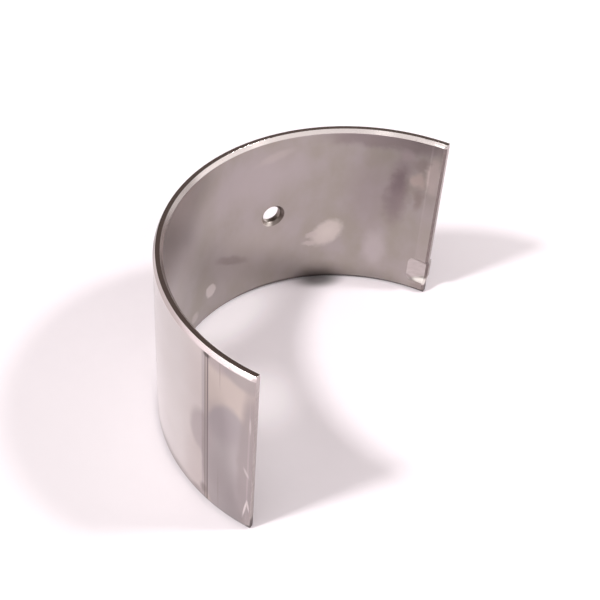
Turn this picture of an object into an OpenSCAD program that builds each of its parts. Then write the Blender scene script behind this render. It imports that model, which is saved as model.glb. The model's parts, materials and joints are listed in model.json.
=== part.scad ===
// Half shell of a plain bearing for the big end of a diesel connecting rod.
// It is drawn free, before it is pressed home. A free shell springs open, so its
// back has a larger radius than the housing bore and its two joint faces lie
// a little short of a full half circle.
// Origin: on the bore axis, at mid-width. +X points to the end with the locating
// lug, +Y to the crown and +Z along the crankpin, away from the lug.

/* [Shell] */
// Diameter of the housing bore that the shell seats in
housing_d = 102; // [70:0.5:140]
// Wall thickness, steel back and bearing lining together
wall = 2.45; // [1.9:0.05:4]
// Width of the shell along the crankpin
shell_w = 53.5; // [30:0.5:80]
// How much wider than the housing bore the free shell stands
free_spread = 1.1; // [0.2:0.1:2.5]

/* [Edge chamfers] */
// Chamfer on the back, measured along the width
back_chamfer_w = 1.35; // [0.3:0.05:2.5]
// Chamfer on the back, measured into the wall
back_chamfer_t = 0.55; // [0.1:0.05:0.8]
// Chamfer on the bore, measured along the width
bore_chamfer_w = 1.05; // [0.3:0.05:2.5]
// Chamfer on the bore, measured into the wall
bore_chamfer_t = 0.75; // [0.1:0.05:0.9]

/* [Joint faces] */
// Length of the thinned bore next to each joint face
relief_len = 4; // [1:0.25:12]
// Depth of the thinned bore
relief_t = 0.05; // [0.02:0.01:0.15]
// Broken bore edge of the joint face, measured along the bore
bore_break_len = 0.7; // [0.2:0.05:1.5]
// Broken bore edge of the joint face, measured into the wall
bore_break_t = 0.5; // [0.1:0.05:0.8]
// Eased back edge of the joint face, measured along the back
back_break_len = 1.1; // [0.2:0.05:2.5]
// Eased back edge of the joint face, measured into the wall
back_break_t = 0.2; // [0.05:0.05:0.5]

/* [Oil hole] */
// Diameter of the drilled hole
oil_hole_d = 5.3; // [2:0.1:10]
// Angle from the crown to the hole, towards the lug
oil_hole_angle = 33.6; // [0:0.1:60]
// Width of the countersink round the hole, on the bore side
oil_sink = 0.85; // [0.1:0.05:1]

/* [Locating lug] */
// Width of the lug along the crankpin
lug_w = 6.6; // [3:0.1:12]
// Length of the lug along the back, from the joint face
lug_len = 6.2; // [3:0.1:9]
// How far the lug stands proud of the back, at the joint face
lug_h = 1.2; // [0.5:0.05:2]
// Distance from the lower edge of the shell to the lug
lug_edge = 4.5; // [3:0.5:14]
// Metal between the floor of the lug's recess and the line of the back
lug_web = 0.95; // [0.6:0.05:1.4]
// Depth of the recess where its floor starts to slope
lug_lead = 0.12; // [0.05:0.01:0.3]
// Lean of the recess's side walls: inside the lug's width at the floor, outside it at the bore
lug_flare = 1.1; // [0.2:0.1:1.4]
// Corner radius of the recess, at the end away from the joint face
lug_corner = 2; // [0.5:0.1:3]

/* [Hidden] */
$fn = 240;

// Radii of the free shell
back_r = (housing_d + free_spread) / 2;
bore_r = back_r - wall;
relief_r = bore_r + relief_t;

// Radius of the recess's floor where it is deepest
recess_r = back_r - lug_web;

// The back keeps the length of the half housing that it fills, so the larger free
// radius takes it round less than half a turn. The rest is shared by the two ends.
back_len = PI * housing_d / 2;
joint_a = (180 - degrees_round(back_len, back_r)) / 2;

// Cutters reach this far past the faces that they cut
over = 1;

// Angle that a length takes up on a circle
function degrees_round(length, radius) = length / radius * 180 / PI;

// Point on a circle about the bore axis
function polar(radius, angle) = [radius * cos(angle), radius * sin(angle)];

// Point on the line from p through q, where share 0 is p and share 1 is q
function along(p, q, share) = p + (q - p) * share;

// Wall in section: radius across, width up
module wall_section() {
  half_w = shell_w / 2;
  polygon([
    [bore_r + bore_chamfer_t, -half_w],
    [back_r - back_chamfer_t, -half_w],
    [back_r, back_chamfer_w - half_w],
    [back_r, half_w - back_chamfer_w],
    [back_r - back_chamfer_t, half_w],
    [bore_r + bore_chamfer_t, half_w],
    [bore_r, half_w - bore_chamfer_w],
    [bore_r, bore_chamfer_w - half_w]
  ]);
}

// Strip bent to the half round, up to its two joint faces
module bent_strip() {
  rotate([0, 0, joint_a])
    rotate_extrude(angle = 180 - 2 * joint_a)
      wall_section();
}

// Outline in the plane of the bend, drawn right across the width
module across_width(outline) {
  linear_extrude(shell_w + 2 * over, center = true)
    polygon(outline);
}

// Thinned bore next to the joint face on the +X side
module bore_relief() {
  start_a = joint_a - degrees_round(over, bore_r);
  end_a = joint_a + degrees_round(relief_len, bore_r);
  rotate([0, 0, start_a])
    rotate_extrude(angle = end_a - start_a)
      translate([bore_r - over, -shell_w / 2 - over])
        square([over + relief_t, shell_w + 2 * over]);
}

// Flat that breaks an edge of the joint face, from a point on that face to
// a point on the curved wall, with the cut-away side at the radius given
module edge_break(on_face, on_wall, clear_r) {
  outside = along(on_face, on_wall, -1);
  inside = along(on_face, on_wall, 2);
  across_width([
    outside,
    inside,
    polar(clear_r, atan2(inside[1], inside[0])),
    polar(clear_r, atan2(outside[1], outside[0]))
  ]);
}

// Everything that is cut from the strip at the joint face on the +X side
module joint_cuts() {
  bore_relief();
  edge_break(
    polar(relief_r + bore_break_t, joint_a),
    polar(relief_r, joint_a + degrees_round(bore_break_len, relief_r)),
    relief_r - over
  );
  edge_break(
    polar(back_r - back_break_t, joint_a),
    polar(back_r, joint_a + degrees_round(back_break_len, back_r)),
    back_r + over
  );
}

// Oil hole through the wall at mid-width, countersunk from the bore
module oil_hole() {
  rotate([0, 0, 90 - oil_hole_angle])
    rotate([0, 90, 0]) {
      cylinder(d = oil_hole_d, h = back_r + over);
      translate([0, 0, bore_r - over])
        cylinder(
          d1 = oil_hole_d + 2 * (oil_sink + over),
          d2 = oil_hole_d,
          h = over + oil_sink
        );
    }
}

// Moves the lug's own drawing, which is centred on z = 0, to its place on the shell
module at_lug() {
  translate([0, 0, lug_edge + lug_w / 2 - shell_w / 2])
    children();
}

// Wedge that stands out of the back: the ramp rises towards the joint face
module lug_wedge() {
  mid_r = bore_r + wall / 2;
  tip = polar(back_r + lug_h, joint_a);
  foot = polar(back_r, joint_a + degrees_round(lug_len, back_r));
  buried = along(tip, foot, 1.2);
  at_lug()
    linear_extrude(lug_w, center = true)
      polygon([
        tip,
        buried,
        polar(mid_r, atan2(buried[1], buried[0])),
        polar(mid_r, joint_a)
      ]);
}

// Recess seen from the side: its floor slopes down to the joint face, where it meets
// the same broken edge as the rest of the bore
module recess_side() {
  lead = polar(bore_r + lug_lead, joint_a + degrees_round(lug_len, back_r));
  deep = polar(recess_r, joint_a + degrees_round(bore_break_len, recess_r));
  edge = polar(recess_r + bore_break_t, joint_a);
  outside = along(deep, edge, 2);
  polygon([
    along(deep, lead, 1.2),
    deep,
    outside,
    [bore_r - 2 * over, outside[1]],
    [bore_r - 2 * over, lead[1] + over]
  ]);
}

// Recess seen along the back: its side walls lean out from the floor to the bore
module recess_end() {
  lean = 2 * lug_flare / (recess_r - bore_r);
  deepest = back_r + lug_h + over;
  mouth = bore_r - 2 * over;
  for (side = [0, 1])
    mirror([0, side])
      polygon([
        [mouth, 0],
        [deepest, 0],
        [deepest, lug_w / 2 - lug_flare],
        [recess_r, lug_w / 2 - lug_flare],
        [mouth, lug_w / 2 + lug_flare + lean * (bore_r - mouth)]
      ]);
}

// Recess seen from the bore: square at the joint face, round cornered at the other end
module recess_outline() {
  half = lug_w / 2 + lug_flare;
  corner = min(lug_corner, half - 0.1);
  end_y = back_r * sin(joint_a + degrees_round(lug_len, back_r));
  translate([-over, -half])
    square([over + end_y - corner, 2 * half]);
  translate([-over, corner - half])
    square([over + end_y, 2 * (half - corner)]);
  for (z = [corner - half, half - corner])
    translate([end_y - corner, z])
      circle(corner);
}

// Recess that the punch leaves in the bore, as what its three views have in common
module lug_recess() {
  long = lug_len + 4 * over;
  at_lug()
    intersection() {
      linear_extrude(lug_w + 2 * lug_flare + over, center = true)
        recess_side();
      translate([0, long - 2 * over, 0])
        rotate([90, 0, 0])
          linear_extrude(long)
            recess_end();
      translate([bore_r - 2 * over, 0, 0])
        rotate([90, 0, 90])
          linear_extrude(wall + lug_h + 2 * over)
            recess_outline();
    }
}

module bearing_shell() {
  color("silver")
    difference() {
      union() {
        difference() {
          bent_strip();
          for (side = [0, 1])
            mirror([side, 0, 0])
              joint_cuts();
        }
        lug_wedge();
      }
      lug_recess();
      oil_hole();
    }
}

bearing_shell();
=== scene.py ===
# %% [markdown]
# # Half shell of a plain bearing
#
# The big end of a diesel connecting rod runs on two half shells like this one. Each is a strip of steel
# with a thin soft lining, bent to a half round, bored, chamfered, drilled for oil and lugged at one end.
# The CAD model holds the true sizes. This lesson loads it as a fixed frame and builds the surface that
# the eye sees around it: rounded edges, a pressed lug, a countersunk hole and seven metal finishes.

# %% Load the frame
import json
import math
from collections import namedtuple

import bmesh
import bpy
import numpy as np
from mathutils import Matrix, Vector


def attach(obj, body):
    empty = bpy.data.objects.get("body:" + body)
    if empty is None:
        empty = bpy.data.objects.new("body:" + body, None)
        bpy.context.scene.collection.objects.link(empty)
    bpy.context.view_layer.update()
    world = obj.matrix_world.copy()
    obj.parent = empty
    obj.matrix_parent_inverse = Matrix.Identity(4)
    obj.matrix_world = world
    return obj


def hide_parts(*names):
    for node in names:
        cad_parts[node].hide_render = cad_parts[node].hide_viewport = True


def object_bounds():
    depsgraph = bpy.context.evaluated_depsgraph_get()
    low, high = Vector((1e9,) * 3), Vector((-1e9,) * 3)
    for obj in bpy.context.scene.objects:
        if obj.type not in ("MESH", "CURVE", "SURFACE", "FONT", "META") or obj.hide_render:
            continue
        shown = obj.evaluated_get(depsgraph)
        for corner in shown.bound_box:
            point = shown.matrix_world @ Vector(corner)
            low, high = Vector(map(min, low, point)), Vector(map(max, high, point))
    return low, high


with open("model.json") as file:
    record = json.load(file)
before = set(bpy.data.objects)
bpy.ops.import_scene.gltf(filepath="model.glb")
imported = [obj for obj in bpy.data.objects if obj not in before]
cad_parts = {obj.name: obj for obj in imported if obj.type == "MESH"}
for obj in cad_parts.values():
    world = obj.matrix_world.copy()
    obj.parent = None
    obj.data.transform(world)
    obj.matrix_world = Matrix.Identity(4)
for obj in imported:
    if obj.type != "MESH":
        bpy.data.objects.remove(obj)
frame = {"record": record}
cad_low, cad_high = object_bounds()
print("CAD box in mm:", [round(side * 1000, 2) for side in cad_high - cad_low])

# %% [markdown]
# ## Sizes
#
# Typing every size again would let the picture and the part drift apart. The record of the part states
# where the shell meets its neighbours, so the radii, the chamfer widths, the joint angle, the hole and the
# lug are read from there. Only small sizes that no neighbour depends on are given, in millimetres, each in
# the cell that first needs it.

# %% Sizes from the frame
MM = 0.001
mounts = {mount["name"]: mount for mount in frame["record"]["mounts"]}
bore_r = mounts["journal"]["dims"]["r_mm"]
back_r = mounts["housing_seat"]["dims"]["r_mm"]
wall = back_r - bore_r
half_w = cad_high.z / MM
bore_chamfer_w = half_w - mounts["journal"]["dims"]["length_mm"] / 2
back_chamfer_w = half_w - mounts["housing_seat"]["dims"]["length_mm"] / 2
joint_a = math.asin(mounts["joint_face_lug"]["axis"][0])
hole_r = mounts["oil_hole"]["dims"]["r_mm"]
hole_a = math.atan2(mounts["oil_hole"]["axis"][1], mounts["oil_hole"]["axis"][0])
hole_sink = wall - mounts["oil_hole"]["dims"]["length_mm"]
lug_mid_z = mounts["lug"]["pos_m"][2] / MM
lug_h = cad_high.x / MM / math.cos(joint_a) - back_r
bend_len = (math.pi - 2 * joint_a) * back_r
print(f"bore {bore_r:.2f}, back {back_r:.2f}, wall {wall:.2f}, half width {half_w:.2f}")
print(f"joint {math.degrees(joint_a):.2f} deg, hole {math.degrees(hole_a):.1f} deg, lug {lug_h:.2f} high")

# %% [markdown]
# ## The camera
#
# The camera looks down at the shell from in front of its plain end. It was found by laying the known
# circles and edges of the part over the picture until they met, which gives a place, a lens and a small
# roll. An aim point with a roll is easier to read and change than three angles, so it is kept that way.

# %% Camera
camera_at = Vector((-204.22, -82.60, 212.15)) * MM
camera_aim = Vector((1.00, 17.56, 0.0)) * MM
camera_roll = math.radians(4.52)
camera_lens = 71.56
camera_data = bpy.data.cameras.new("camera")
camera_data.lens = camera_lens
camera_data.sensor_width = 36
camera_data.clip_start = 0.01
camera_data.clip_end = 20
camera = bpy.data.objects.new("camera", camera_data)
look = (camera_aim - camera_at).to_track_quat("-Z", "Y").to_matrix().to_4x4()
camera.matrix_world = Matrix.Translation(camera_at) @ look @ Matrix.Rotation(camera_roll, 4, "Z")
bpy.context.scene.collection.objects.link(camera)
bpy.context.scene.camera = camera
print(f"camera {(camera_aim - camera_at).length / MM:.0f} mm from the shell")

# %% [markdown]
# ## The wall in section
#
# A revolved outline would give the shell in one step, but with edges as sharp as a drawing. Real edges are
# rounded by tumbling, and that thin round is what catches the light. So the outline is walked once around
# the wall, up the bore, over the top edge, down the back and under the lower edge, and each corner
# becomes a short arc. Points are (radius, height) pairs.

# %% Rounded corners of the wall
bore_chamfer_t = 0.75
back_chamfer_t = 0.55
edge_r = 0.12
arc_steps = 3


def rounded_corner(before, corner, after):
    """Points of the arc that replaces one corner."""
    to_before = (before - corner) / np.linalg.norm(before - corner)
    to_after = (after - corner) / np.linalg.norm(after - corner)
    half = math.acos(to_before @ to_after) / 2
    middle = (to_before + to_after) / np.linalg.norm(to_before + to_after)
    centre = corner + middle * edge_r / math.sin(half)
    first = corner + to_before * edge_r / math.tan(half) - centre
    last = corner + to_after * edge_r / math.tan(half) - centre
    sweep = math.pi - 2 * half
    shares = np.linspace(0, 1, arc_steps + 1)
    return [centre + (math.sin((1 - t) * sweep) * first + math.sin(t * sweep) * last) / math.sin(sweep)
            for t in shares]


def rim_points():
    """The top edge, from the bore over both chamfers to the back."""
    corners = np.array([
        (bore_r, 0),
        (bore_r, half_w - bore_chamfer_w),
        (bore_r + bore_chamfer_t, half_w),
        (back_r - back_chamfer_t, half_w),
        (back_r, half_w - back_chamfer_w),
        (back_r, 0),
    ])
    return [point for i in range(1, 5) for point in rounded_corner(*corners[i - 1:i + 2])]


rim = rim_points()
print(f"rim: {len(rim)} points over four corners rounded by {edge_r} mm")

# %% [markdown]
# ## The grid
#
# The wall becomes a grid of stations round the bend and lines along the width. An even grid fine enough
# for the lug would be far too heavy, so the steps are small only where something is pressed, cut or nicked:
# at both ends of the bend, and at the height of the lug.

# %% Heights and stations of the grid
relief_len = 4.0
bore_break_len = 0.7
back_break_len = 1.1
lug_w = 6.6
lug_len = 6.2
lug_flare = 1.1
grid_z = 0.6
fine_z = 0.25
grid_s = 0.75
fine_s = 0.2
lug_margin = 0.9
relief_soft = 0.1
rim_margin = 0.3
last_z = half_w - back_chamfer_w - rim_margin
recess_half = lug_w / 2 + lug_flare


def stepped(marks, steps):
    """Even steps from each mark to the next, with every mark kept."""
    spans = zip(marks, marks[1:], steps)
    runs = [np.linspace(a, b, max(1, round((b - a) / step)) + 1) for a, b, step in spans]
    return np.unique(np.concatenate(runs).round(6))


lug_low = lug_mid_z - recess_half - lug_margin
lug_top = lug_mid_z + recess_half + lug_margin
z_lines = stepped([-last_z, lug_low, lug_top, last_z], [grid_z, fine_z, grid_z])
end_marks = [edge_r, bore_break_len, back_break_len, relief_len - relief_soft, relief_len + relief_soft,
             lug_len + lug_margin]
end_lines = stepped(end_marks, [fine_s] * 5)
quarter = np.radians([90, 60, 30, 0])
end_s = edge_r * (1 - np.sin(quarter))
end_inset = edge_r * (1 - np.cos(quarter))
ends = np.concatenate([end_s, end_lines])
middle = stepped([end_marks[-1], bend_len - end_marks[-1]], [grid_s])
stations = np.unique(np.concatenate([ends, middle, bend_len - ends]).round(6))
section = np.array(
    [(bore_r, z) for z in z_lines]
    + rim
    + [(back_r, z) for z in z_lines[::-1]]
    + [(r, -z) for r, z in rim[::-1]]
)
print(f"{len(stations)} stations round the bend, {len(section)} points round the wall")

# %% [markdown]
# ## What the tools did to the ends
#
# Near both joint faces the bore is thinned a little, its edge is broken and the back edge is eased. At one
# end a punch has pressed the wall outwards: a ramp with leaning sides and round corners sinks into the bore
# and a wedge, the locating lug, stands out of the back. Cutting these with booleans would leave long thin
# triangles, so each is a depth worked out from the distance to the joint face and the height, and the grid
# simply follows it. The plain end has a few knocks on its back edge, which are shallow grooves.

# %% Depth of the relief, the broken edge and the lug's recess
relief_t = 0.05
bore_break_t = 0.5
lug_web = 0.95
lug_lead = 0.12
lug_corner = 2.0
blend = 0.12


def ramp(value, low, high):
    """Smooth rise from 0 at low to 1 at high."""
    share = np.clip((value - low) / (high - low), 0, 1)
    return share * share * (3 - 2 * share)


def recess_inside(s, z):
    """Distance inside the outline that the punch leaves in the bore, less than 0 outside it."""
    across = np.abs(z - lug_mid_z) - (recess_half - lug_corner)
    along = s - (lug_len - lug_corner)
    beyond = np.hypot(np.maximum(across, 0), np.maximum(along, 0))
    return lug_corner - beyond - np.minimum(np.maximum(across, along), 0)


def bore_depth(s, z, lugged):
    """How far the bore lies below its own circle, at a distance s from a joint face."""
    relief = relief_t * ramp(relief_len - s, -relief_soft, relief_soft)
    depth = relief
    if lugged:
        slope = np.clip((lug_len - s) / (lug_len - bore_break_len), 0, 1)
        floor = lug_lead + (wall - lug_web - lug_lead) * slope
        side = recess_inside(s, z) * (wall - lug_web) / (2 * lug_flare)
        pressed = (floor + side - np.hypot(floor - side, blend)) / 2
        joined = (relief + pressed + np.hypot(relief - pressed, blend / 2)) / 2
        depth = np.where(side < -blend, relief, joined)
    return depth + bore_break_t * np.clip(1 - s / bore_break_len, 0, 1)


print(f"recess: {float(bore_depth(bore_break_len, lug_mid_z, True)):.2f} mm deep beside the broken edge")

# %% Height of the eased edge, the lug and the knocks
back_break_t = 0.2
Knock = namedtuple("Knock", "s0 z0 s1 z1 half depth shine")
knocks = [
    Knock(1.0, -16.4, 1.9, -22.0, 0.40, 0.12, 0.85),
    Knock(0.9, -16.5, 0.4, -19.8, 0.35, 0.10, 0.65),
    Knock(0.9, 12.7, 0.8, 8.4, 0.35, 0.07, 0.38),
    Knock(2.0, -4.8, 0.9, -7.2, 0.55, 0.09, 0.42),
]


def knock_depth(s, z):
    """Depth of the knocks in the back at the plain end."""
    depth = 0
    for k in knocks:
        run = np.array([k.s1 - k.s0, k.z1 - k.z0])
        share = np.clip(((s - k.s0) * run[0] + (z - k.z0) * run[1]) / (run @ run), 0, 1)
        away = np.hypot(s - k.s0 - share * run[0], z - k.z0 - share * run[1])
        depth = depth + k.depth * ramp(k.half - away, 0, k.half)
    return depth


def back_height(s, z, lugged):
    """How far the back stands above its own circle, at a distance s from a joint face."""
    eased = -back_break_t * np.clip(1 - s / back_break_len, 0, 1)
    if not lugged:
        return eased - knock_depth(s, z)
    mask = ramp(lug_w / 2 - np.abs(z - lug_mid_z), -blend, blend)
    wedge = lug_h * np.clip(1 - s / lug_len, 0, 1)
    return eased * (1 - mask) + wedge * mask


print(f"lug: {float(back_height(0, lug_mid_z, True)):.2f} mm high at the joint face, {len(knocks)} knocks")

# %% Bend the section into the grid
back_share = 0.999


def inward(loop):
    """Unit normals of a closed (radius, height) loop, towards the metal."""
    along = np.roll(loop, -1, 0) - np.roll(loop, 1, 0)
    along /= np.linalg.norm(along, axis=1)[:, None]
    return np.stack([along[:, 1], -along[:, 0]], 1)


def worked_section(s):
    """The section at one station, after every cut. Points past a share of the wall belong to the back."""
    r, z = section.T
    from_end = min(s, bend_len - s)
    lugged = s < bend_len / 2
    outer = (r - bore_r) / wall > back_share
    top = back_r + back_height(from_end, z, lugged)
    r = np.where(outer, top, np.minimum(r, top))
    r = np.maximum(r, bore_r + bore_depth(from_end, z, lugged))
    loop = np.stack([r, z], 1)
    return loop + inward(loop) * np.interp(from_end, end_s, end_inset)


loops = np.array([worked_section(s) for s in stations])
angles = joint_a + stations / back_r
grid = np.stack([
    loops[:, :, 0] * np.cos(angles)[:, None],
    loops[:, :, 0] * np.sin(angles)[:, None],
    loops[:, :, 1],
], 2)
print(f"grid of {grid.shape[0]} by {grid.shape[1]} points")

# %% [markdown]
# ## The oil hole
#
# A hole in a grid is easiest as a patch: a rectangle of squares is left out of the bore and of the back,
# and rings run from its edge to the round hole. Each ring has as many points as the rectangle's edge, so
# everything stays in quads. A drill and a countersink made the hole, so it has a cone and a straight wall.

# %% Patch lines around the hole
patch_half = 7.0
n_z = len(z_lines)
n_rim = len(rim)
n_loop = len(section)
hole_s = (hole_a - joint_a) * back_r
first_station = int(np.argmin(np.abs(stations - hole_s + patch_half)))
last_station = int(np.argmin(np.abs(stations - hole_s - patch_half)))
first_line = int(np.argmin(np.abs(z_lines + patch_half)))
last_line = int(np.argmin(np.abs(z_lines - patch_half)))


def on_bore(line):
    """Index in the section of a height line on the bore."""
    return line


def on_back(line):
    """Index in the section of the same height line on the back."""
    return n_z + n_rim + n_z - 1 - line


def patch_edge(side):
    """Grid points round the patch, in order, as (station, section point) pairs."""
    low = [(i, first_line) for i in range(first_station, last_station)]
    far = [(last_station, j) for j in range(first_line, last_line)]
    high = [(i, last_line) for i in range(last_station, first_station, -1)]
    near = [(first_station, j) for j in range(last_line, first_line, -1)]
    return [(i, side(j)) for i, j in low + far + high + near]


print(f"hole patch: {last_station - first_station} by {last_line - first_line} squares left out")

# %% Rings from the patch edge through the hole
hole_out = np.array([math.cos(hole_a), math.sin(hole_a), 0])
hole_side = np.array([-math.sin(hole_a), math.cos(hole_a), 0])
hole_up = np.array([0, 0, 1])
skin_rings = 6
hole_edge = 0.08
hole_ease = 0.02


def hole_profile():
    """(radius, depth share) pairs from the bore face through the countersink to the back face."""
    sink = hole_sink / wall
    nick = hole_edge / wall
    return [
        (hole_r + hole_sink + hole_edge, 0.0),
        (hole_r + hole_sink + hole_ease, 0.2 * nick),
        (hole_r + hole_sink - hole_edge, nick),
        (hole_r + hole_edge, sink - nick),
        (hole_r + hole_ease, sink),
        (hole_r, sink + 1.5 * nick),
        (hole_r, 0.65),
        (hole_r, 1 - nick),
        (hole_r + hole_ease, 1 - 0.2 * nick),
        (hole_r + hole_edge, 1.0),
    ]


def ring(u, v, depth):
    """Points of a ring: u round the bend, v along the width, at a share of the wall's depth."""
    bore_x = np.sqrt(bore_r ** 2 - u ** 2)
    back_x = np.sqrt(back_r ** 2 - u ** 2)
    out = bore_x + (back_x - bore_x) * depth
    return out[:, None] * hole_out + u[:, None] * hole_side + v[:, None] * hole_up


bore_edge = np.array([grid[i, j] for i, j in patch_edge(on_bore)])
back_edge = np.array([grid[i, j] for i, j in patch_edge(on_back)])
around = np.arctan2(bore_edge @ hole_up, bore_edge @ hole_side)
rings = []
profile = hole_profile()
for t in np.linspace(0, 1, skin_rings + 1)[1:-1]:
    u = (1 - t) * (bore_edge @ hole_side) + t * profile[0][0] * np.cos(around)
    v = (1 - t) * (bore_edge @ hole_up) + t * profile[0][0] * np.sin(around)
    rings.append(ring(u, v, 0.0))
for radius, depth in profile:
    rings.append(ring(radius * np.cos(around), radius * np.sin(around), depth))
for t in np.linspace(1, 0, skin_rings + 1)[1:-1]:
    u = (1 - t) * (back_edge @ hole_side) + t * profile[-1][0] * np.cos(around)
    v = (1 - t) * (back_edge @ hole_up) + t * profile[-1][0] * np.sin(around)
    rings.append(ring(u, v, 1.0))
print(f"hole patch: {len(rings)} rings of {len(around)} points")

# %% [markdown]
# ## One mesh
#
# The grid, the two end caps and the hole become one closed mesh. While its faces are made, each one notes
# the finish that its tool left: lined bore, turned edge, plated back, broached joint face, drilled hole,
# coined recess or filed edge. A second note is the place of each corner on the flat strip before it was
# bent, in millimetres. On a rim, the height counts on over both chamfers, as a tape laid over the edge
# would. It is stored as a UV map, and every pattern is drawn on that flat strip.

# %% Faces and their finishes
LINING, EDGE, BACK, JOINT, HOLE, RECESS, FILED = range(7)
faces = []
finishes = []
from_end = np.minimum(stations, bend_len - stations)
in_recess = np.array([recess_inside(s, z_lines) > 0 for s in stations])


def finish_of(i, j):
    """Finish of the face between station i and the next, at section point j."""
    if n_z + n_rim - 1 <= j < 2 * n_z + n_rim:
        return BACK
    if n_z <= j < n_loop - 1:
        return EDGE
    if from_end[i:i + 2].max() < bore_break_len + edge_r / 2:
        return FILED
    lines = slice(j, j + 2) if j < n_z - 1 else slice(0, 1)
    return RECESS if in_recess[i:i + 2, lines].all() else LINING


def in_patch(i, j):
    """True for a face that the hole's patch takes the place of."""
    if not first_station <= i < last_station:
        return False
    return first_line <= j < last_line or on_back(last_line) <= j < on_back(first_line)


for i in range(len(stations) - 1):
    for j in range(n_loop):
        if not in_patch(i, j):
            k = (j + 1) % n_loop
            faces.append((i * n_loop + j, i * n_loop + k, (i + 1) * n_loop + k, (i + 1) * n_loop + j))
            finishes.append(finish_of(i, j))
print(f"{len(faces)} faces round the wall")


# %% End caps and hole faces
def cap(start, flip):
    """Joint face on the loop that starts at this vertex."""
    strips = [(on_bore(j), on_back(j), on_back(j + 1), on_bore(j + 1)) for j in range(n_z - 1)]
    top = range(n_z - 1, n_z + n_rim + 1)
    foot = [*range(2 * n_z + n_rim - 1, n_loop), 0]
    for face in [*strips, tuple(top)[::-1], tuple(foot)[::-1]]:
        corners = [start + j for j in face]
        faces.append(tuple(corners[::-1] if flip else corners))
        finishes.append(JOINT)


cap(0, False)
cap((len(stations) - 1) * n_loop, True)
points = np.concatenate([grid.reshape(-1, 3), *rings])
ring_rows = [[i * n_loop + j for i, j in patch_edge(on_bore)]]
for row in range(len(rings)):
    first = len(stations) * n_loop + row * len(around)
    ring_rows.append(list(range(first, first + len(around))))
ring_rows.append([i * n_loop + j for i, j in patch_edge(on_back)])
for row in range(len(ring_rows) - 1):
    through = skin_rings <= row < len(ring_rows) - 1 - skin_rings
    for a in range(len(around)):
        b = (a + 1) % len(around)
        faces.append((ring_rows[row][a], ring_rows[row + 1][a], ring_rows[row + 1][b], ring_rows[row][b]))
        finishes.append(HOLE if through else LINING if row < skin_rings else BACK)
print(f"{len(points)} points, {len(faces)} faces")

# %% The mesh
shell_mesh = bpy.data.meshes.new("bearing_shell_skin")
shell_mesh.from_pydata((points * MM).tolist(), [], faces)
shell_mesh.polygons.foreach_set("material_index", finishes)
shell_mesh.polygons.foreach_set("use_smooth", [True] * len(faces))
print(f"{sum(len(face) - 2 for face in faces)} triangles")

# %% Flat-strip map
radius = np.hypot(points[:, 0], points[:, 1])
along = (np.arctan2(points[:, 1], points[:, 0]) - joint_a) * back_r
flat = np.stack([along, points[:, 2]], 1)
height = np.abs(points[:, 2])
past_flat = radius > back_r - back_chamfer_t
taped = radius - bore_r + np.where(past_flat, 2 * half_w - height, height)
over_rim = np.stack([along, taped * np.sign(points[:, 2])], 1)
corner_vertex = np.zeros(len(shell_mesh.loops), int)
shell_mesh.loops.foreach_get("vertex_index", corner_vertex)
corner_finish = np.repeat(finishes, [len(face) for face in faces])
face_on = np.stack([radius - bore_r, points[:, 2]], 1)
unrolled = flat[corner_vertex]
unrolled[corner_finish == EDGE] = over_rim[corner_vertex][corner_finish == EDGE]
unrolled[corner_finish == JOINT] = face_on[corner_vertex][corner_finish == JOINT]
shell_mesh.uv_layers.new(name="unrolled").uv.foreach_set("vector", unrolled.astype(np.float32).ravel())
shell_mesh.validate()
print(f"flat strip: {np.ptp(flat[:, 0]):.1f} by {np.ptp(flat[:, 1]):.1f} mm")

# %% Even shading, and the ride on the frame
shell = bpy.data.objects.new("bearing_shell_skin", shell_mesh)
bpy.context.scene.collection.objects.link(shell)
even = shell.modifiers.new("even_normals", "WEIGHTED_NORMAL")
even.mode = "FACE_AREA"
even.weight = 80
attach(shell, "root")
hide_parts("bearing_shell")
solid = bmesh.new()
solid.from_mesh(shell_mesh)
open_edges = [edge for edge in solid.edges if len(edge.link_faces) != 2]
print(f"volume {solid.calc_volume(signed=True) / MM ** 3:.0f} cubic mm, {len(open_edges)} open edges")
solid.free()

# %% [markdown]
# ## Finishes
#
# Every finish is one Principled shader with a few patterns in front of it. One small function adds a node,
# sets it up and links it. Colours are written as hex codes, the way a paint tool shows them, and turned to
# the linear values that Blender works with. Handling marks, painted shade and painted highlights repeat on
# several finishes, so a list of ovals with their places on the flat strip is laid over a colour by one
# function. An oval is a stain or a patch of painted light, with a centre, two half sizes in millimetres, a
# turn in degrees, a softness of its edge, a strength and a colour.

# %% Helpers for materials
def linear(code):
    """Linear colour of an sRGB hex code."""
    parts = [int(code[i:i + 2], 16) / 255 for i in (1, 3, 5)]
    return (*[p / 12.92 if p <= 0.04045 else ((p + 0.055) / 1.055) ** 2.4 for p in parts], 1)


def add(tree, kind, settings=None, links=None):
    """Adds a node with its settings and links. A setting is a property or an input."""
    node = tree.nodes.new(kind)
    for key, value in (settings or {}).items():
        if isinstance(key, str) and key in node.bl_rna.properties:
            setattr(node, key, value)
        else:
            node.inputs[key].default_value = value
    for key, socket in (links or {}).items():
        tree.links.new(socket, node.inputs[key])
    return node


def metal(name):
    """A new metal: its node tree, its shader and the place on the flat strip in millimetres."""
    material = bpy.data.materials.new(name)
    material.use_nodes = True
    tree = material.node_tree
    tree.nodes.clear()
    shader = add(tree, "ShaderNodeBsdfPrincipled", {"Metallic": 1.0})
    add(tree, "ShaderNodeOutputMaterial", links={"Surface": shader.outputs["BSDF"]})
    strip = add(tree, "ShaderNodeUVMap", {"uv_map": "unrolled"}).outputs["UV"]
    shell_mesh.materials.append(material)
    return tree, shader, strip


print(f"hex 808080 is {linear('#808080')[0]:.3f} in linear light")

# %% Stains and clouds
Stain = namedtuple("Stain", "along height half_along half_height turn edge strength colour")


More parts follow.
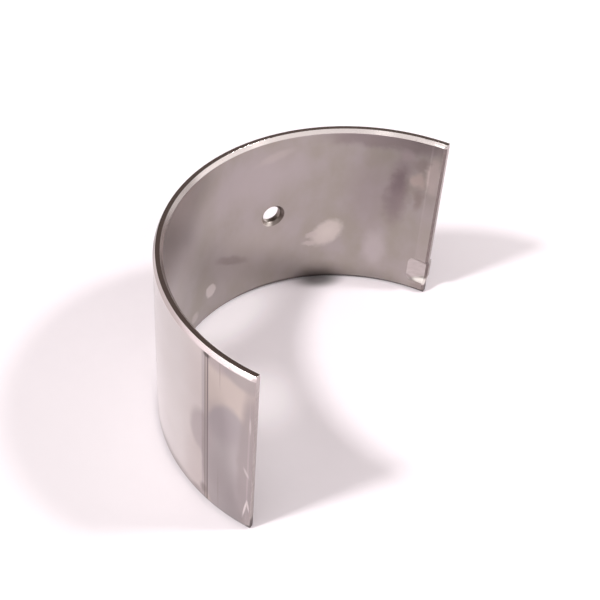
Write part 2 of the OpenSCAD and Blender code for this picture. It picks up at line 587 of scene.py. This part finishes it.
def ragged(tree, strip, size, wander):
    """The flat strip with its places shifted about, so that ovals on it get uneven edges."""
    drift = add(tree, "ShaderNodeTexNoise", {"Scale": 1 / size, "Detail": 3.0}, {"Vector": strip})
    centred = add(tree, "ShaderNodeVectorMath", {"operation": "SUBTRACT", 1: (0.5, 0.5, 0.5)},
                  {0: drift.outputs["Color"]})
    shifted = add(tree, "ShaderNodeVectorMath", {"operation": "MULTIPLY_ADD", 1: (wander, wander, 0)},
                  {0: centred.outputs[0], 2: strip})
    return shifted.outputs[0]


def clouded(tree, strip, sizes, thin, thick, codes):
    """Two colours mixed in clouds of this length and height, between two noise levels."""
    scaled = add(tree, "ShaderNodeMapping", {"Scale": (1 / sizes[0], 1 / sizes[1], 1)}, {"Vector": strip})
    noise = add(tree, "ShaderNodeTexNoise", {"Scale": 1.0, "Detail": 3.0}, {"Vector": scaled.outputs[0]})
    share = add(tree, "ShaderNodeMapRange", {"From Min": thin, "From Max": thick},
                {"Value": noise.outputs["Fac"]})
    mixed = add(tree, "ShaderNodeMix", {"data_type": "RGBA", 6: linear(codes[0]), 7: linear(codes[1])},
                {0: share.outputs[0]})
    return mixed.outputs[2]


def stained_or_lit(tree, strip, colour, stains):
    """Lays soft ovals of stain or painted light over a colour, or over black where it is None, one after
    the other.
    """
    for mark in stains:
        local = add(tree, "ShaderNodeMapping",
                    {"vector_type": "TEXTURE",
                     "Location": (mark.along, mark.height, 0),
                     "Rotation": (0, 0, math.radians(mark.turn)),
                     "Scale": (mark.half_along, mark.half_height, 1)},
                    {"Vector": strip})
        far = add(tree, "ShaderNodeVectorMath", {"operation": "LENGTH"}, {0: local.outputs[0]})
        mask = add(tree, "ShaderNodeMapRange",
                   {"interpolation_type": "SMOOTHSTEP", "From Min": 1 + mark.edge,
                    "From Max": 1 - mark.edge, "To Max": mark.strength},
                   {"Value": far.outputs["Value"]})
        under = {} if colour is None else {6: colour}
        mixed = add(tree, "ShaderNodeMix",
                    {"data_type": "RGBA", 6: linear("#000000"), 7: linear(mark.colour)},
                    {0: mask.outputs[0], **under})
        colour = mixed.outputs[2]
    return colour


print("a stain has:", ", ".join(Stain._fields))


# %% Tool lines
def tool_lines(tree, strip, shader, length, pitch, height, gloss):
    """Fine lines that a tool leaves, this long and this far apart in millimetres.

    They are bumps of a height in millimetres, and the roughness runs between the two values of gloss.
    """
    scaled = add(tree, "ShaderNodeMapping", {"Scale": (1 / length, 1 / pitch, 1)}, {"Vector": strip})
    noise = add(tree, "ShaderNodeTexNoise", {"Scale": 1.0, "Detail": 1.0}, {"Vector": scaled.outputs[0]})
    bump = add(tree, "ShaderNodeBump", {"Strength": 1.0, "Distance": height * MM},
               {"Height": noise.outputs["Fac"]})
    sheen = add(tree, "ShaderNodeMapRange", {"To Min": gloss[0], "To Max": gloss[1]},
                {"Value": noise.outputs["Fac"]})
    tree.links.new(bump.outputs["Normal"], shader.inputs["Normal"])
    tree.links.new(sheen.outputs[0], shader.inputs["Roughness"])


def report(tree):
    """Prints the name of the newest finish and the size of its node tree."""
    print(f"{shell_mesh.materials[-1].name}: {len(tree.nodes)} nodes")


# %% [markdown]
# ## Fine-bored lining
#
# The bore runs on oil, so it carries a thin layer of aluminium-tin alloy, finished by one fine boring cut.
# The alloy is soft and a little dull, and it stains where it is touched. A shiny steel shader would be too
# clean: this one mixes a warm and a cool grey in broad clouds, then lays pale and dark patches over them.
# The dark patches along the foot of the bore, at the foot of the crown and low beside the lug's joint face
# are painted shade where the shell stands on the paper, and the dark patches high near the lug end are a
# painted reflection of the shaded paper. The patches near the lug and the pale leaf below the hole have
# their own lists, because their edges wander more or less than the others. Boring lines are 0.1 mm apart
# and are drawn at 0.35 mm, so that they show at all.

# %% Patches on the lining
lining_stains_and_shade = [
    Stain(106, 14, 26, 18, 0, 0.7, 0.85, "#C4BBBA"),
    Stain(93, 19, 10, 9, 0, 0.6, 0.80, "#C8BFBD"),
    Stain(58, -11, 12, 9, 0, 0.7, 0.45, "#B4ABA8"),
    Stain(55, 14, 13, 8, 0, 0.7, 0.70, "#AEA5A6"),
    Stain(20.0, 5, 6.5, 11, 0, 0.8, 0.42, "#8F8385"),
    Stain(17.2, -14.5, 3.4, 6.0, 0, 0.6, 0.60, "#B9B0B2"),
    Stain(64.7, -10.2, 6.0, 1.3, 25.5, 0.5, 0.50, "#887D79"),
    Stain(50, 20.5, 5.0, 1.3, -12, 0.6, 0.45, "#B9AEAC"),
    Stain(73.0, -16.6, 2.3, 2.2, 20, 0.2, 0.90, "#CEC6C3"),
    Stain(80.7, -21.6, 1.8, 1.6, 0, 0.35, 0.75, "#BDB5B3"),
    # Painted shade: a contact shadow at the foot of the crown, and one low beside the lug's joint face
    Stain(33.0, -27, 8.5, 5.5, 0, 0.5, 0.42, "#6B605D"),
    Stain(1.8, -24.9, 2.0, 1.2, 0, 0.5, 0.60, "#7F7472"),
]
# The dark patches here are a painted reflection of the shaded paper; the pale ones are a lighter tone
lug_end_stains_and_reflection = [
    Stain(17, 25, 17, 3.4, 0, 0.4, 0.65, "#84787A"),
    Stain(12.2, 8, 2.9, 10.0, 3, 0.6, 0.80, "#877A7B"),
    Stain(12.4, 11, 1.6, 4.0, 0, 0.7, 0.55, "#796B6E"),
    Stain(14.6, 3.5, 1.8, 5.0, -8, 0.8, 0.45, "#84797A"),
    Stain(10.6, 20.2, 2.0, 1.6, 0, 0.6, 0.55, "#A99A9C"),
    Stain(6.6, 18.2, 2.6, 2.0, 0, 0.5, 0.60, "#948985"),
    Stain(6.8, 13.0, 1.8, 2.4, 0, 0.5, 0.80, "#BAABA5"),
    Stain(6.0, 6.4, 1.4, 3.4, 0, 0.6, 0.60, "#8C7F7A"),
    Stain(2.4, 15.5, 2.3, 5.5, 0, 0.4, 0.75, "#CABEB9"),
]
leaf_stains = [
    Stain(32.3, -9.2, 5.3, 3.7, -47, 0.28, 0.85, "#C3BAB4"),
    Stain(32.0, -8.8, 3.2, 2.2, -47, 0.8, 0.50, "#CEC6BF"),
    Stain(37.1, -9.6, 1.8, 0.9, -20, 0.4, 0.70, "#BDB3AF"),
    Stain(37.6, -12.8, 2.0, 0.9, 10, 0.4, 0.70, "#BDB3AF"),
]
relief_stain = Stain(2.0, -8, 2.2, 33, 0, 0.12, 0.22, "#B4AAA8")
# Painted shade along the foot of the bore, where it meets the paper
foot_shade = Stain(48, -26.7, 34, 1.35, 0, 0.25, 0.75, "#4A403E")
print(f"{len(lining_stains_and_shade)} patches, {len(lug_end_stains_and_reflection)} at the lug end, {len(leaf_stains)} for a leaf")

# %% Aluminium-tin lining
# A satin grey with a trace of brown, clouded and patchy, that blurs what it mirrors, with painted shade
# along its foot
tree, shader, strip = metal("aluminium_tin_fine_bored")
colour = clouded(tree, strip, (9, 12), 0.36, 0.64, ("#A59D9B", "#9D968E"))
colour = stained_or_lit(tree, ragged(tree, strip, 3.0, 1.8), colour, lining_stains_and_shade)
colour = stained_or_lit(tree, ragged(tree, strip, 3.5, 4.0), colour, lug_end_stains_and_reflection)
colour = stained_or_lit(tree, strip, colour, [relief_stain, foot_shade])
colour = stained_or_lit(tree, ragged(tree, strip, 1.4, 1.6), colour, leaf_stains)
tree.links.new(colour, shader.inputs["Base Color"])
tool_lines(tree, strip, shader, 60, 0.35, 0.0001, (0.26, 0.32))
report(tree)

# %% [markdown]
# ## Turned edges
#
# Both rims and their chamfers are turned on a lathe after the strip is bent, so the steel is bare and
# carries rings one feed of 0.2 mm apart. Bright bare steel mirrors the studio more than it shows a colour
# of its own, so the finish is mostly a low roughness and ring lines. Knocks from other shells leave dark
# specks. The lower rim is darkened by painted shade where it meets the paper, and parts of the chamfers
# are darker or lighter.

# %% Turned steel rims
# Bright grey steel whose fine rings stretch a reflection along the rim
tree, shader, strip = metal("low_carbon_steel_turned")
colour = clouded(tree, strip, (1.4, 0.4), 0.68, 0.76, ("#CAC1BF", "#8E827B"))
# Half length of the painted shade that runs right round the rim
all_round = 900
rim_stains_and_shade = [
    # Painted shade right round the lower rim, where it meets the paper; the other ovals make parts of the
    # chamfers darker or lighter
    Stain(0, -31, all_round, 6.5, 0, 0.06, 0.90, "#453B39"),
    Stain(124, 26.5, 11, 1.0, 0, 0.4, 0.75, "#6E635F"),
    Stain(98, 30.2, 16, 1.6, 0, 0.3, 0.95, "#5E544F"),
    Stain(124, 30.2, 14, 1.6, 0, 0.3, 0.80, "#AEA5A1"),
]
colour = stained_or_lit(tree, strip, colour, rim_stains_and_shade)
tree.links.new(colour, shader.inputs["Base Color"])
tool_lines(tree, strip, shader, 40, 0.2, 0.00005, (0.15, 0.27))
report(tree)

# %% [markdown]
# ## Plated back
#
# The back is cold-rolled steel with a thin flash of tin that keeps rust away. It is the brightest surface,
# nearly a mirror. Bending tools leave two dark witness lines and a fainter one across the strip near the
# plain end, and past them the plating is duller. The dark clouds there, the dark band under the top
# chamfer and the darkening along the lower edge are a painted reflection of the shaded paper, among a few
# stains. The lines are true straight lines on the flat strip, while the clouds use the shifted strip, so
# their edges wander. The rolling lines are finer than 0.1 mm and are drawn at 0.5 mm, so that they show.

# %% Stains and painted reflection on the back
# Half height of a stain that crosses the whole strip
tall = 400
dull_stains = [
    Stain(bend_len - 14.0, 0, 7.0, tall, 0, 0.7, 0.35, "#BFAFAA"),
    Stain(bend_len - 6.0, 0, 8.1, tall, 0, 0.03, 1.0, "#C5BAB3"),
    Stain(bend_len - 15.0, 0, 0.45, tall, 0, 0.5, 0.6, "#DED7D6"),
]
# Mostly a painted reflection of the shaded paper: the large dark cloud low beside the plain end, the dark
# band under the top chamfer and the darkening along the lower edge, among a few smaller stains
stains_and_painted_reflection = [
    Stain(bend_len - 7.0, -8.0, 8.4, 20.8, 0, 0.07, 0.95, "#ADA7A7"),
    Stain(bend_len - 15.7, -1.8, 4.2, 7.0, 0, 0.25, 0.80, "#AFA6A6"),
    Stain(bend_len - 9.0, 6, 5.0, 6.0, 0, 0.6, 0.50, "#9C9396"),
    Stain(bend_len - 3.0, 24.8, 8.0, 3.4, -15, 0.3, 0.85, "#ABA4A2"),
    Stain(bend_len - 0.4, -4, 3.5, 25, 0, 0.25, 0.90, "#A29A99"),
    Stain(bend_len - 3.5, -18, 5.0, 9.0, 0, 0.6, 0.40, "#938B8B"),
    Stain(bend_len - 17.0, -24.5, 2.0, 1.2, 0, 0.5, 0.50, "#8F8482"),
    Stain(bend_len - 29.0, -27.5, 14.0, 3.8, 0, 0.5, 0.85, "#9A908E"),
    Stain(bend_len - 18.0, -16.0, 4.0, 9.0, 0, 0.6, 0.40, "#BFB6B3"),
    Stain(bend_len - 10.5, -12.0, 2.5, 7.0, 0, 0.6, 0.25, "#8F8686"),
    Stain(bend_len - 10.0, 24.6, 4.5, 2.4, 0, 0.5, 0.50, "#A0979A"),
]
print(f"{len(dull_stains)} dull bands and {len(stains_and_painted_reflection)} stains and painted reflections near the plain end")

# %% Lines, knocks and a painted highlight on the back
witness_lines = [
    Stain(bend_len - 14.75, 0, 0.70, tall, 0.25, 0.5, 0.45, "#8F8583"),
    Stain(bend_len - 14.25, 0, 0.22, tall, 0.25, 0.45, 0.70, "#857A79"),
    Stain(bend_len - 13.45, 0, 0.26, tall, 0.25, 0.45, 0.90, "#7C7170"),
    Stain(bend_len - 9.65, 22.5, 0.18, 5.0, 0.9, 0.6, 0.30, "#8E837F"),
    Stain(bend_len - 9.65, -19, 0.18, 7.0, 0.9, 0.6, 0.30, "#8E837F"),
]
line_ends = [
    Stain(bend_len - 13.9, 24.9, 1.0, 0.7, 0, 0.5, 0.80, "#4A403E"),
    Stain(bend_len - 14.7, -22.3, 1.2, 1.6, 0, 0.6, 0.50, "#6B605D"),
]
# A painted highlight along the eased back edge of the plain end
eased_edge_highlight = [Stain(bend_len - 1.0, -3, 0.22, 19, 0, 0.6, 0.25, "#CCC2C0")]
knock_marks = [
    Stain(bend_len - (k.s0 + k.s1) / 2,
          (k.z0 + k.z1) / 2,
          math.hypot(k.s1 - k.s0, k.z1 - k.z0) / 2 + 0.2,
          k.half * 0.6,
          math.degrees(math.atan2(k.z1 - k.z0, k.s0 - k.s1)),
          0.5, k.shine, "#DED6D4")
    for k in knocks
]
print(f"{len(witness_lines)} lines and {len(knock_marks)} bright knocks")

# %% Tin flash on rolled steel
# Pale, almost white metal with soft mirror reflections, duller and beige beside the plain joint face,
# where its dark clouds are a painted reflection of the shaded paper
tree, shader, strip = metal("tin_flash_on_rolled_steel")
colour = clouded(tree, strip, (24, 12), 0.35, 0.65, ("#DAD6D4", "#D5D0CD"))
colour = stained_or_lit(tree, strip, colour, dull_stains)
colour = stained_or_lit(tree, ragged(tree, strip, 5.0, 1.4), colour, stains_and_painted_reflection)
colour = stained_or_lit(tree, strip, colour, witness_lines + line_ends + eased_edge_highlight + knock_marks)
tree.links.new(colour, shader.inputs["Base Color"])
tool_lines(tree, strip, shader, 30, 0.5, 0.0002, (0.13, 0.2))
report(tree)

# %% [markdown]
# ## Joint faces, oil hole, recess and filed edges
#
# Four small surfaces come from four other tools. A broach cuts the joint faces and leaves lines across the
# wall, 0.25 mm apart. A drill leaves rings in the oil hole. The punch coins the recess smooth and bright.
# The edge between bore and joint face is broken with a file, so it is rough, with strokes 0.3 mm apart, and
# looks dark beside the polished metal. Each gets its own colours, lines and roughness in the same way.

# %% Broached joint faces
# Bright steel with straight cutting lines across the wall
tree, shader, strip = metal("low_carbon_steel_broached")
colour = clouded(tree, strip, (6, 0.8), 0.3, 0.7, ("#BFB6B3", "#A99F9C"))
# Painted shade at the lower corner of each joint face, where it meets the paper
colour = stained_or_lit(tree, strip, colour, [Stain(1.2, -26.5, 4.0, 3.2, 0, 0.4, 0.85, "#4A403E")])
tree.links.new(colour, shader.inputs["Base Color"])
tool_lines(tree, strip, shader, 8, 0.25, 0.0006, (0.26, 0.42))
report(tree)

# %% Drilled oil hole
# Grey steel with rings one drill feed apart, which is 0.1 mm and is drawn at 0.2 mm to show
drill_feed = 0.2 * MM
ring_height = 0.01 * MM
tree, shader, strip = metal("low_carbon_steel_drilled")
place = add(tree, "ShaderNodeTexCoord")
depth = add(tree, "ShaderNodeVectorMath", {"operation": "DOT_PRODUCT", 1: tuple(hole_out)},
            {0: place.outputs["Object"]})
drill_rings = add(tree, "ShaderNodeTexNoise", {"noise_dimensions": "1D", "Scale": 1 / drill_feed},
                  {"W": depth.outputs["Value"]})
ring_bump = add(tree, "ShaderNodeBump", {"Strength": 1.0, "Distance": ring_height},
                {"Height": drill_rings.outputs["Fac"]})
ring_sheen = add(tree, "ShaderNodeMapRange", {"To Min": 0.34, "To Max": 0.46},
                 {"Value": drill_rings.outputs["Fac"]})
tree.links.new(ring_bump.outputs["Normal"], shader.inputs["Normal"])
tree.links.new(ring_sheen.outputs[0], shader.inputs["Roughness"])
colour = clouded(tree, strip, (1.5, 1.5), 0.35, 0.65, ("#CBC1BB", "#AFA49E"))
# Painted shade on the hole's wall towards the lug end and low in the hole, and a painted highlight on the
# lower countersink
hole_shade_and_glint = [
    Stain(hole_s - 3.0, 0.3, 2.4, 3.4, 0, 0.4, 0.85, "#756A65"),
    Stain(hole_s + 1.6, -2.4, 1.8, 1.8, 0, 0.6, 0.60, "#E6DDD6"),
    Stain(hole_s - 1.5, -3.4, 2.0, 1.3, 0, 0.5, 0.85, "#6B605B"),
]
colour = stained_or_lit(tree, strip, colour, hole_shade_and_glint)
tree.links.new(colour, shader.inputs["Base Color"])
report(tree)

# %% Coined recess
# Lining pressed smooth against the punch, paler than the bore, with faint lines where the metal flowed
tree, shader, strip = metal("aluminium_tin_coined")
colour = clouded(tree, strip, (2.5, 1.2), 0.35, 0.65, ("#C0B8B6", "#B6AEAB"))
# A painted highlight of the left lamp on the recess's lower wall, and painted shade in its lower corner
recess_glint_and_shade = [
    Stain(1.2, lug_mid_z - 3.65, 2.6, 0.75, 0, 0.3, 0.95, "#FFF8F4"),
    Stain(5.2, lug_mid_z - 3.25, 1.6, 0.4, 42, 0.5, 0.60, "#8F8583"),
]
colour = stained_or_lit(tree, strip, colour, recess_glint_and_shade)
tree.links.new(colour, shader.inputs["Base Color"])
tool_lines(tree, strip, shader, 6, 0.4, 0.0002, (0.28, 0.36))
report(tree)

# %% Filed edges
# Rough dark steel with file strokes
tree, shader, strip = metal("low_carbon_steel_filed")
colour = clouded(tree, strip, (0.5, 1.5), 0.35, 0.65, ("#8F8481", "#7F7472"))
# Painted shade on the broken edge across the lug's recess, and a painted highlight where the recess's lower
# wall meets it
filed_shade_and_glint = [
    Stain(0.35, lug_mid_z + 0.4, 0.6, 2.2, 0, 0.5, 0.50, "#6E6361"),
    Stain(0.35, lug_mid_z - 3.85, 0.8, 0.9, 0, 0.4, 0.90, "#EEE6E2"),
]
colour = stained_or_lit(tree, strip, colour, filed_shade_and_glint)
tree.links.new(colour, shader.inputs["Base Color"])
tool_lines(tree, strip, shader, 2, 0.3, 0.002, (0.4, 0.55))
report(tree)

# %% [markdown]
# ## Floor
#
# The shell stands on white paper that runs far back. It is a wide disc, just under the lower rim, so that
# the two never share a plane. Its colour is a faint grain with two soft grey ovals of painted shade: a
# contact shadow at the foot of the crown, which few samples find, and a faint shadow on the left, where the
# paper gets less light. Ovals on the floor are measured in metres, because they lie in the scene and not on
# the flat strip.

# %% Paper floor
floor_reach = 4.0
floor_drop = 0.02 * MM
bpy.ops.mesh.primitive_circle_add(vertices=96, radius=floor_reach, fill_type="NGON",
                                  location=(0, 0, cad_low.z - floor_drop))
floor = bpy.context.object
floor.name = "floor"
print(f"floor: a disc of {floor_reach:.0f} m radius")

# %% Paper colour
# Matt white with a faint pink cast, greyed by painted shade under the crown and on the left
paper = bpy.data.materials.new("white_paper")
paper.use_nodes = True
floor.data.materials.append(paper)
tree = paper.node_tree
tree.nodes.clear()
spot = add(tree, "ShaderNodeNewGeometry").outputs["Position"]
grain = clouded(tree, spot, (4 * MM, 4 * MM), 0.3, 0.7, ("#F0E8ED", "#EFE7EC"))
# Painted shade: a contact shadow at the crown's foot and a faint shadow on the left of the shell
crown_foot = Stain(0.0378, 0.0301, 0.0055, 0.0027, 128.5, 0.7, 1.0, "#928D8F")
painted_shade_left = Stain(-0.085, 0.045, 0.045, 0.06, 0, 1.0, 0.95, "#E4DDE1")
tinted = stained_or_lit(tree, spot, grain, [crown_foot, painted_shade_left])
matt = add(tree, "ShaderNodeBsdfDiffuse", links={"Color": tinted})
print(f"paper colour: {len(tree.nodes)} nodes")

# %% [markdown]
# ## Glow of the paper
#
# A plain white plane turns grey where the lamps no longer reach it, so the paper glows, more with distance,
# for the rays that look at it: camera, glossy and transmission rays. Mirrored paper needs less, because
# metal that mirrors more than white looks burnt out. Close to the shell the glow is weak, and it fades
# where the shell shades the paper, so both shadows stay. The polished bore and the plain joint face also
# throw lamp light back on the paper. Few samples find such paths, so three soft ovals of glow stand for it.

# %% Paper glow
glow_centre = (-0.07, 0.045, cad_low.z)
glow_start = 0.06
glow_full = 0.5
glow_near = 0.06
glow_far = 0.85
glow_mirrored = 0.2
shade_reach = 0.03
shade_deep = 0.4
shade_open = 0.95
path = add(tree, "ShaderNodeLightPath")
reach = add(tree, "ShaderNodeVectorMath", {"operation": "DISTANCE", 1: glow_centre}, {0: spot})
far_glow = add(tree, "ShaderNodeMath",
               {"operation": "MULTIPLY_ADD", 1: glow_mirrored - glow_far, 2: glow_far},
               {0: path.outputs["Is Glossy Ray"]})
lift = add(tree, "ShaderNodeMapRange",
           {"interpolation_type": "SMOOTHSTEP", "From Min": glow_start, "From Max": glow_full,
            "To Min": glow_near},
           {"Value": reach.outputs["Value"], "To Max": far_glow.outputs[0]})
shade = add(tree, "ShaderNodeAmbientOcclusion", {"samples": 8, "Distance": shade_reach})
open_sky = add(tree, "ShaderNodeMapRange", {"From Min": shade_deep, "From Max": shade_open},
               {"Value": shade.outputs["AO"]})
lit = add(tree, "ShaderNodeMath", {"operation": "MULTIPLY"}, {0: lift.outputs[0], 1: open_sky.outputs[0]})
print(f"paper glow: {glow_near} beside the shell, {glow_far} from {glow_full} m on")

# %% Thrown light and the rays that see it
from_bore = Stain(0.008, 0.045, 0.0169, 0.0078, -13, 0.69, 0.24, "#FFFFFF")
from_joint = Stain(-0.0126, 0.0200, 0.0078, 0.0092, -58, 0.9, 0.20, "#FFFFFF")
from_front = Stain(-0.0279, 0.0072, 0.0095, 0.0120, -58, 0.9, 0.05, "#FFFFFF")
thrown = stained_or_lit(tree, spot, None, [from_bore, from_joint, from_front])
lit = add(tree, "ShaderNodeMath", {"operation": "ADD"}, {0: lit.outputs[0], 1: thrown})
seen = add(tree, "ShaderNodeMath", {"operation": "MAXIMUM"},
           {0: path.outputs["Is Camera Ray"], 1: path.outputs["Is Glossy Ray"]})
seen = add(tree, "ShaderNodeMath", {"operation": "MAXIMUM"},
           {0: seen.outputs[0], 1: path.outputs["Is Transmission Ray"]})
strength = add(tree, "ShaderNodeMath", {"operation": "MULTIPLY"}, {0: lit.outputs[0], 1: seen.outputs[0]})
glow = add(tree, "ShaderNodeEmission", {"Color": linear("#FFFBFD")}, {"Strength": strength.outputs[0]})
both = add(tree, "ShaderNodeAddShader", links={0: matt.outputs[0], 1: glow.outputs[0]})
add(tree, "ShaderNodeOutputMaterial", links={"Surface": both.outputs[0]})
print(f"{paper.name}: {len(tree.nodes)} nodes")

# %% [markdown]
# ## Light
#
# Polished metal is a picture of the room around it, so the room matters as much as the finish. Two
# lamps stand left and right of the camera and give the two soft shadows. Three wide panels, left, front and
# right, light the bore chamfer, and a low strip on the left lights the back chamfer. The dome is white at
# the horizon and dim overhead, which is what the flat top edge mirrors.

# %% Dome
# Positions on its ramp are sines of the elevation
dome_white = linear("#FFFCFA")
dome_low = linear("#A39C98")
dome_dim = linear("#625550")
world = bpy.data.worlds.new("studio_dome")
bpy.context.scene.world = world
world.use_nodes = True
tree = world.node_tree
tree.nodes.clear()
direction = add(tree, "ShaderNodeTexCoord")
parts = add(tree, "ShaderNodeSeparateXYZ", links={0: direction.outputs["Generated"]})
dome = add(tree, "ShaderNodeValToRGB", links={"Fac": parts.outputs["Z"]})
for position, colour in ((0.3, dome_low), (0.6, dome_dim)):
    dome.color_ramp.elements.new(position).color = colour
dome.color_ramp.elements[0].position = 0.1
dome.color_ramp.elements[0].color = dome_white
dome.color_ramp.elements[-1].color = dome_dim
sky = add(tree, "ShaderNodeBackground", {"Strength": 1.0}, {"Color": dome.outputs["Color"]})
add(tree, "ShaderNodeOutputWorld", links={"Surface": sky.outputs[0]})
print(f"dome: {len(dome.color_ramp.elements)} stops from horizon to zenith")


# %% Lamps
def softbox(name, azimuth, elevation, distance, width, height, brightness):
    """A soft lamp aimed at the shell: angles in degrees, sizes in metres, brightness 1 is white."""
    turn = math.radians(azimuth)
    rise = math.radians(elevation)
    unit = Vector((math.cos(rise) * math.cos(turn), math.cos(rise) * math.sin(turn), math.sin(rise)))
    data = bpy.data.lights.new(name, "AREA")
    data.shape = "ELLIPSE" if width == height else "RECTANGLE"
    data.size = width
    data.size_y = height
    area = width * height * (math.pi / 4 if data.shape == "ELLIPSE" else 1)
    data.energy = brightness * math.pi * area
    light = bpy.data.objects.new(name, data)
    light.location = unit * distance
    light.rotation_mode = "QUATERNION"
    light.rotation_quaternion = unit.to_track_quat("Z", "Y")
    bpy.context.scene.collection.objects.link(light)
    share = brightness * area / distance ** 2 * unit.z / math.pi
    print(f"{name}: {share:.2f} of white on the floor")


softbox("key_left", 146.7, 49.9, 1.2, 0.15, 0.15, 172)
softbox("key_right", 300, 54, 1.2, 0.15, 0.15, 104)
softbox("panel_left", 180, 30, 1.0, 0.72, 0.56, 1.15)
softbox("panel_front", 240, 36, 1.0, 1.3, 0.52, 1.15)
softbox("panel_right", 293, 21, 1.0, 0.72, 0.36, 1.15)
softbox("strip_left", 147, 8, 0.8, 0.8, 0.3, 3.0)

# %% View
bpy.context.scene.view_settings.view_transform = "Standard"
